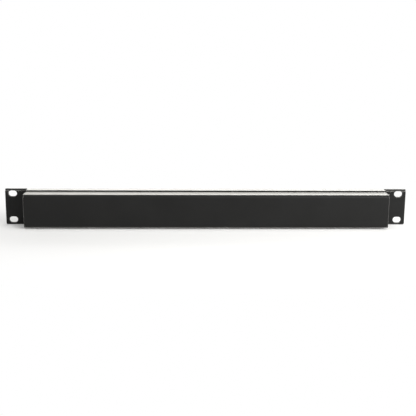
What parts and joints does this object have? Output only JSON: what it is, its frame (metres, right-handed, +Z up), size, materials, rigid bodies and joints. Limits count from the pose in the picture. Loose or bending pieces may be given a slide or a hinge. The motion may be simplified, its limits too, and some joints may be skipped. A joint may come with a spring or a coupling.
{
  "type": "dmx splitter",
  "caption": "Shallow rack-mount box with slotted ears that splits a lighting control signal from its input to a row of isolated output sockets, with a power inlet and switch.",
  "frame": {"origin": "middle of the base of the box that holds the whole unit, at the height of the panel's underside", "axes": "+X along the rack's width, to the right seen from the front; -Y is the front with the connectors, +Y the plain rear; +Z up"},
  "size_m": [0.4826, 0.0346, 0.0436],
  "materials": {
    "black_coat": "satin black powder coat over folded sheet steel",
    "connector_shell": "black finish on a die-cast shell",
    "moulded_black": "moulded black, fine texture",
    "latch_black": "moulded black, smooth",
    "rocker_black": "polished black",
    "silver_contact": "silver plated",
    "tinned_blade": "tinned, bright",
    "circuit_board": "green solder mask",
    "nickel_standoff": "nickel plated hexagon",
    "transformer_tape": "ferrite core with wound bobbin",
    "capacitor_sleeve": "shrunk sleeve",
    "clear_pipe": "clear moulding, polished",
    "fuse_glass": "glass tube with metal caps"
  },
  "bodies": {
    "chassis": {"front_panel": "black_coat", "rear_housing": "black_coat", "main_board": "circuit_board", "dmx_input_shell": "connector_shell", "dmx_input_insert": "moulded_black", "mains_inlet_body": "moulded_black", "mains_inlet_live_blade": "tinned_blade", "mains_inlet_neutral_blade": "tinned_blade", "mains_inlet_earth_blade": "tinned_blade", "switch_frame": "moulded_black", "power_transformer": "transformer_tape", "mains_capacitor": "capacitor_sleeve", "output_capacitor": "capacitor_sleeve", "board_standoff_1": "nickel_standoff", "board_standoff_2": "nickel_standoff", "board_standoff_3": "nickel_standoff", "board_standoff_4": "nickel_standoff", "dmx_input_pin_1": "silver_contact", "dmx_input_pin_2": "silver_contact", "dmx_input_pin_3": "silver_contact", "dmx_link_shell": "connector_shell", "dmx_link_insert": "moulded_black", "dmx_output_1_shell": "connector_shell", "dmx_output_1_insert": "moulded_black", "dmx_output_2_shell": "connector_shell", "dmx_output_2_insert": "moulded_black", "dmx_output_3_shell": "connector_shell", "dmx_output_3_insert": "moulded_black", "dmx_output_4_shell": "connector_shell", "dmx_output_4_insert": "moulded_black", "dmx_output_5_shell": "connector_shell", "dmx_output_5_insert": "moulded_black", "dmx_output_6_shell": "connector_shell", "dmx_output_6_insert": "moulded_black", "dmx_output_7_shell": "connector_shell", "dmx_output_7_insert": "moulded_black", "dmx_output_8_shell": "connector_shell", "dmx_output_8_insert": "moulded_black", "input_light_pipe": "clear_pipe", "output_1_light_pipe": "clear_pipe", "output_2_light_pipe": "clear_pipe", "output_3_light_pipe": "clear_pipe", "output_4_light_pipe": "clear_pipe", "output_5_light_pipe": "clear_pipe", "output_6_light_pipe": "clear_pipe", "output_7_light_pipe": "clear_pipe", "output_8_light_pipe": "clear_pipe", "power_light_pipe": "clear_pipe"},
    "link_latch": {"dmx_link_latch": "latch_black"},
    "output_1_latch": {"dmx_output_1_latch": "latch_black"},
    "output_2_latch": {"dmx_output_2_latch": "latch_black"},
    "output_3_latch": {"dmx_output_3_latch": "latch_black"},
    "output_4_latch": {"dmx_output_4_latch": "latch_black"},
    "output_5_latch": {"dmx_output_5_latch": "latch_black"},
    "output_6_latch": {"dmx_output_6_latch": "latch_black"},
    "output_7_latch": {"dmx_output_7_latch": "latch_black"},
    "output_8_latch": {"dmx_output_8_latch": "latch_black"},
    "rocker": {"switch_rocker": "rocker_black"},
    "fuse_tray": {"fuse_drawer": "moulded_black", "fuse": "fuse_glass"}
  },
  "joints": [
    {"name": "link_latch_press", "type": "slide", "parent": "chassis", "child": "link_latch", "axis": [0, 1, 0], "range_m": [0, 0.0014], "stiffness_N_per_m": 250, "springref_m": -0.001},
    {"name": "output_1_latch_press", "type": "slide", "parent": "chassis", "child": "output_1_latch", "axis": [0, 1, 0], "range_m": [0, 0.0014], "stiffness_N_per_m": 250, "springref_m": -0.001},
    {"name": "output_2_latch_press", "type": "slide", "parent": "chassis", "child": "output_2_latch", "axis": [0, 1, 0], "range_m": [0, 0.0014], "stiffness_N_per_m": 250, "springref_m": -0.001},
    {"name": "output_3_latch_press", "type": "slide", "parent": "chassis", "child": "output_3_latch", "axis": [0, 1, 0], "range_m": [0, 0.0014], "stiffness_N_per_m": 250, "springref_m": -0.001},
    {"name": "output_4_latch_press", "type": "slide", "parent": "chassis", "child": "output_4_latch", "axis": [0, 1, 0], "range_m": [0, 0.0014], "stiffness_N_per_m": 250, "springref_m": -0.001},
    {"name": "output_5_latch_press", "type": "slide", "parent": "chassis", "child": "output_5_latch", "axis": [0, 1, 0], "range_m": [0, 0.0014], "stiffness_N_per_m": 250, "springref_m": -0.001},
    {"name": "output_6_latch_press", "type": "slide", "parent": "chassis", "child": "output_6_latch", "axis": [0, 1, 0], "range_m": [0, 0.0014], "stiffness_N_per_m": 250, "springref_m": -0.001},
    {"name": "output_7_latch_press", "type": "slide", "parent": "chassis", "child": "output_7_latch", "axis": [0, 1, 0], "range_m": [0, 0.0014], "stiffness_N_per_m": 250, "springref_m": -0.001},
    {"name": "output_8_latch_press", "type": "slide", "parent": "chassis", "child": "output_8_latch", "axis": [0, 1, 0], "range_m": [0, 0.0014], "stiffness_N_per_m": 250, "springref_m": -0.001},
    {"name": "power_rocker_tilt", "type": "hinge", "parent": "chassis", "child": "rocker", "pos_m": [0.1455, -0.01175, 0.0218], "axis": [-1, 0, 0], "range_deg": [0, 22]},
    {"name": "fuse_tray_slide", "type": "slide", "parent": "chassis", "child": "fuse_tray", "axis": [0, -1, 0], "range_m": [0, 0.012]}
  ]
}
